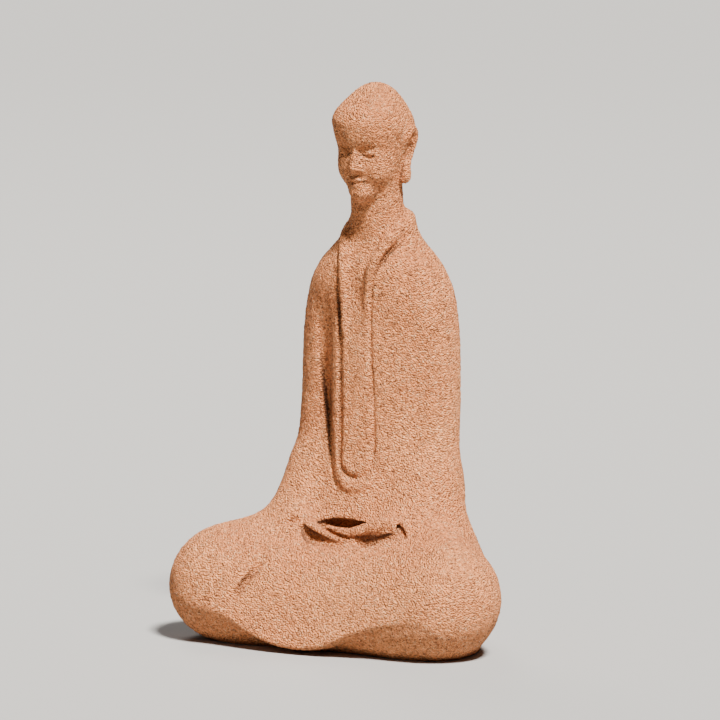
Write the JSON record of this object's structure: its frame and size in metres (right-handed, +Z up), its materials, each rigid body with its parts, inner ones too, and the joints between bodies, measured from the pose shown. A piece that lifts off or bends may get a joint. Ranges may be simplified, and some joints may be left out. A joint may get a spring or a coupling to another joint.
{
  "type": "ceramic buddha figurine",
  "caption": "Unglazed clay figure of a robed buddha, seated cross-legged in meditation with the hands in the lap.",
  "frame": {"origin": "middle of the figurine's box, on the surface that it stands on", "axes": "+Z up; the figure faces -Y, so its left hand is on the +X side"},
  "size_m": [0.097, 0.0596, 0.1496],
  "materials": {
    "clay": "coarse unglazed clay, matt, with a sandy grain"
  },
  "bodies": {
    "root": {"buddha_figurine": "clay"}
  },
  "joints": []
}
